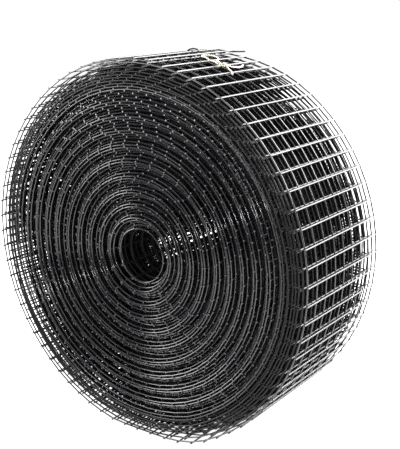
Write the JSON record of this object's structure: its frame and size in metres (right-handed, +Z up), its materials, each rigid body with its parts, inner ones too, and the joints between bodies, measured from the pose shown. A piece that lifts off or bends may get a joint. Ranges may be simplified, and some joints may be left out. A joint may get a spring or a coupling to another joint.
{
  "type": "roll of welded bird mesh",
  "caption": "Narrow strip of black coated welded wire mesh wound into a round roll with an open core, its outer end held down by a pale tie wire.",
  "frame": {"origin": "middle of the flat spot that the roll rests on, under the centre of its box", "axes": "+Y along the roll's axis towards its back end face, +X to the right seen from the front, +Z up"},
  "size_m": [0.2867, 0.1094, 0.2862],
  "materials": {
    "coated_wire": "black plastic coating on thin steel wire, glossy",
    "tie_wire": "cream coating on soft wire, satin"
  },
  "bodies": {
    "root": {"wound_mesh": "coated_wire", "wire_tie": "tie_wire"}
  },
  "joints": []
}
